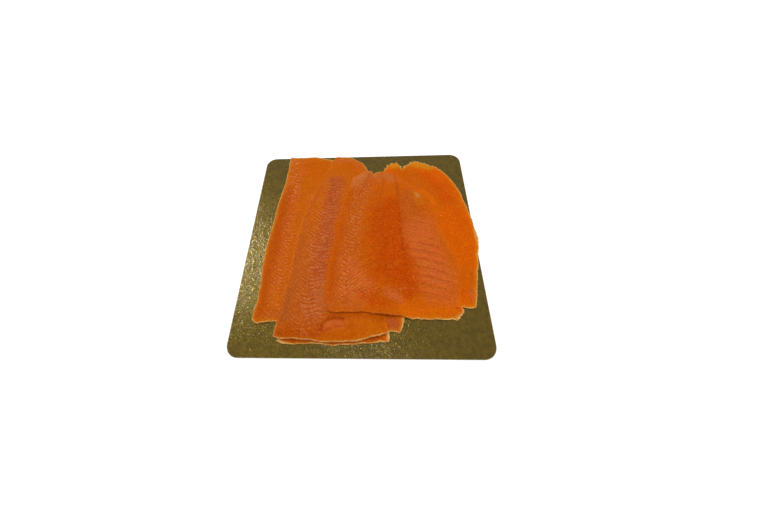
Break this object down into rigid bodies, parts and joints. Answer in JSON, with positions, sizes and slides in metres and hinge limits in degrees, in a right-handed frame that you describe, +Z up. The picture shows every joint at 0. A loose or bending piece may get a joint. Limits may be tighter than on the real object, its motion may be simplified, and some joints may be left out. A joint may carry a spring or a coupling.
{
  "type": "sliced smoked trout fillet on a gold card",
  "caption": "Thin slices of smoked trout fillet fanned over each other on a square gold-laminated card with round corners.",
  "frame": {"origin": "centre of the card's flat underside, which is also the mount rest", "axes": "+Z up, +Y along the slices towards their narrow ends at the far side of the card, +X to the right as seen from the near side"},
  "size_m": [0.2427, 0.24, 0.0137],
  "materials": {
    "gold_card": "dull gold foil laminated on card, finely crinkled, mostly smooth",
    "trout_flesh": "moist orange fish flesh with fine muscle lines, slightly glossy and translucent at its edges"
  },
  "bodies": {
    "root": {"gold_card": "gold_card", "slice_left": "trout_flesh", "slice_right": "trout_flesh", "slice_middle_lower": "trout_flesh", "slice_middle_upper": "trout_flesh", "slice_top": "trout_flesh"}
  },
  "joints": []
}
